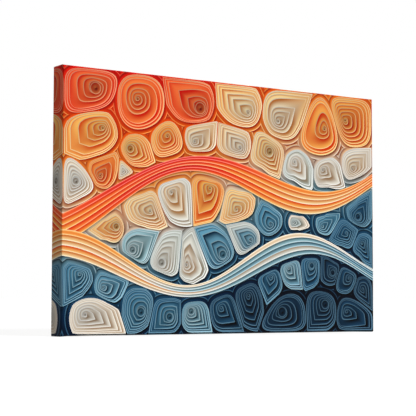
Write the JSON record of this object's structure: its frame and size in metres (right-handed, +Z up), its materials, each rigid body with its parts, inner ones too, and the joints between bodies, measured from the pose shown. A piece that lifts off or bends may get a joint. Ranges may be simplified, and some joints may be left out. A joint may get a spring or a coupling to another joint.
{
  "type": "stretched canvas print",
  "caption": "Landscape gallery-wrapped canvas print on a keyed wooden stretcher frame, with the picture mirrored round its edges and a sawtooth hanger on the back.",
  "frame": {"origin": "middle of the width and depth, under the folded bottom corners that it stands on", "axes": "+X across the picture to the right as its viewer sees it, +Y from the face towards the wall, +Z up"},
  "size_m": [0.6104, 0.0356, 0.4091],
  "materials": {
    "printed_canvas": "matte primed cotton canvas, printed on the face and sides, white at the back",
    "pine": "planed, unfinished softwood",
    "key_wood": "sawn, unfinished beech",
    "staple_wire": "galvanised flat wire",
    "hanger_steel": "zinc-plated pressed strip",
    "nail_steel": "bright nail with a flat head",
    "bumper_rubber": "soft moulded rubber dot"
  },
  "bodies": {
    "root": {"canvas": "printed_canvas", "bar_top": "pine", "bar_bottom": "pine", "bar_left": "pine", "bar_right": "pine", "key_top_left_1": "key_wood", "key_top_left_2": "key_wood", "key_top_right_1": "key_wood", "key_top_right_2": "key_wood", "key_bottom_left_1": "key_wood", "key_bottom_left_2": "key_wood", "key_bottom_right_1": "key_wood", "key_bottom_right_2": "key_wood", "sawtooth_hanger": "hanger_steel", "hanger_nail_left": "nail_steel", "hanger_nail_right": "nail_steel", "bumper_left": "bumper_rubber", "bumper_right": "bumper_rubber", "staples": "staple_wire"}
  },
  "joints": []
}
